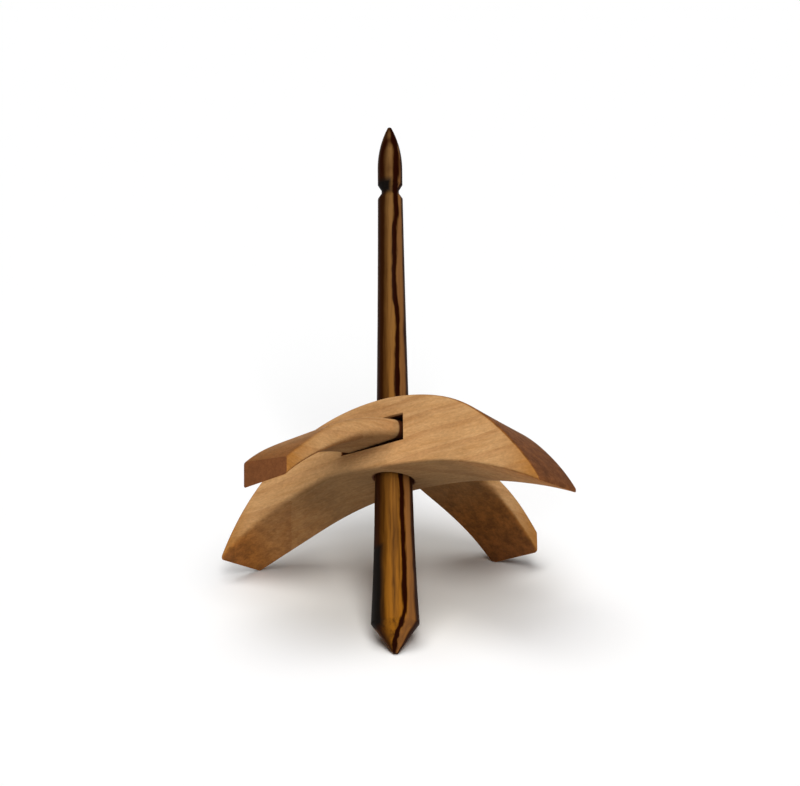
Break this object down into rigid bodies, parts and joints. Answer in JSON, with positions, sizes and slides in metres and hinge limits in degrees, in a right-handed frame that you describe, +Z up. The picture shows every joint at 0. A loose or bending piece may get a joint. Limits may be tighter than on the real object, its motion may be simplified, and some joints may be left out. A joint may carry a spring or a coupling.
{
  "type": "drop spindle",
  "caption": "Turkish drop spindle: a slim tapered shaft with a hitch groove, locking two crossed arched wooden arms; it stands on three points.",
  "frame": {"origin": "on the table the spindle stands on, below the middle of the object's bounding box", "axes": "+Z up from the table; the shaft leans away from its lower point towards +Y, with its lower point towards -Y"},
  "size_m": [0.0808, 0.0906, 0.0967],
  "materials": {
    "shaft_wood": "oiled, satin, dark-streaked",
    "outer_arm_wood": "fine-sanded, oiled, satin",
    "inner_arm_wood": "fine-sanded, oiled, satin"
  },
  "bodies": {
    "shaft": {"shaft": "shaft_wood"},
    "arms": {"outer_arm": "outer_arm_wood", "inner_arm": "inner_arm_wood"}
  },
  "joints": [
    {"name": "arms_slide", "type": "slide", "parent": "shaft", "child": "arms", "axis": [0, 0.6516, 0.7586], "range_m": [0, 0.092]}
  ]
}
